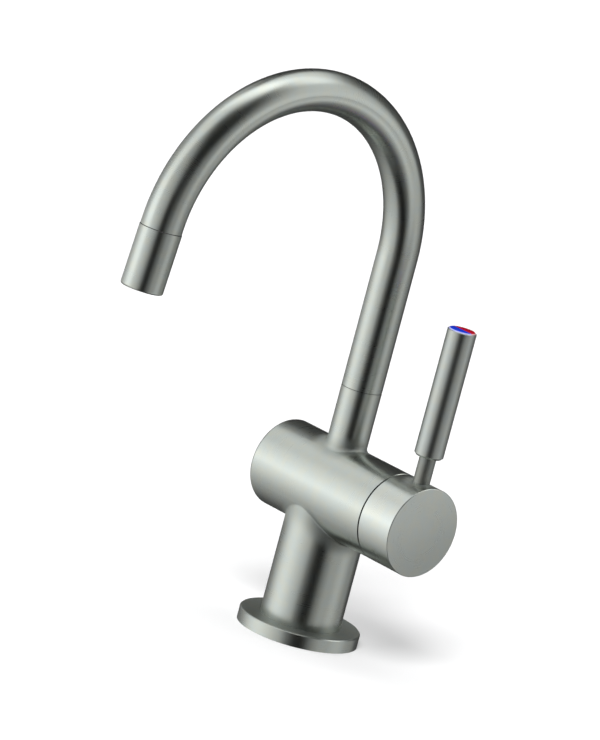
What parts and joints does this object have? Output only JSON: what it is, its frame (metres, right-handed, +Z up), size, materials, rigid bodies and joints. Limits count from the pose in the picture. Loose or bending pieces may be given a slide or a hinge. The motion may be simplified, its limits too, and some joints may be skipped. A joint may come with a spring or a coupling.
{
  "type": "hot and cold water dispenser tap",
  "caption": "Satin steel worktop tap with a level barrel, a swivelling gooseneck spout and a side lever that turns one way for cold and the other for hot water.",
  "frame": {"origin": "centre of the base flange's underside, on the worktop's face and on the stem's axis", "axes": "+Z up, -Y to the front, where the spout reaches; +X along the barrel, to the turning cap and its lever"},
  "size_m": [0.0919, 0.1763, 0.314],
  "materials": {
    "satin_steel": "satin, fine grain",
    "turned_brass": "turned",
    "copper": "drawn, dull",
    "zinc_steel": "zinc plated",
    "spring_steel": "tempered",
    "black_rubber": "moulded",
    "white_plastic": "moulded",
    "ceramic": "lapped ceramic",
    "blue_inlay": "smooth",
    "red_inlay": "smooth"
  },
  "bodies": {
    "fixed_body": {"base_flange": "satin_steel", "base_gasket": "black_rubber", "faucet_body": "satin_steel", "threaded_shank": "turned_brass", "deck_rubber_washer": "black_rubber", "deck_steel_washer": "zinc_steel", "mounting_nut": "turned_brass", "cold_inlet_tube": "copper", "tank_feed_tube": "copper", "hot_return_tube": "copper", "tail_seals": "black_rubber", "cartridge_housing": "white_plastic", "seat_seals": "black_rubber", "fixed_disc": "ceramic", "cartridge_nut": "turned_brass", "return_spring": "spring_steel", "spout_bush": "white_plastic", "glide_washer": "white_plastic"},
    "spout": {"spout_tube": "satin_steel", "spout_journal": "turned_brass", "spout_seals": "black_rubber", "spout_retaining_ring": "white_plastic", "outlet_tip": "satin_steel", "tip_seal": "black_rubber", "flow_straightener": "white_plastic"},
    "lever": {"handle_cap": "satin_steel", "cap_grub_screw": "zinc_steel", "spring_pin": "spring_steel", "lever_neck": "satin_steel", "lever_grip": "satin_steel", "indicator_carrier": "white_plastic", "cold_indicator": "blue_inlay", "hot_indicator": "red_inlay", "cartridge_spindle": "turned_brass", "spindle_seals": "black_rubber", "spindle_circlip": "spring_steel", "moving_disc": "ceramic"}
  },
  "joints": [
    {"name": "spout_swivel", "type": "hinge", "parent": "fixed_body", "child": "spout", "pos_m": [0, 0, 0.112], "axis": [0, 0, 1], "continuous": true},
    {"name": "lever_turn", "type": "hinge", "parent": "fixed_body", "child": "lever", "pos_m": [0.04895, 0, 0.0664], "axis": [1, 0, 0], "range_deg": [-40, 40], "stiffness_Nm_per_rad": 0.3, "deforming": ["return_spring"]}
  ]
}
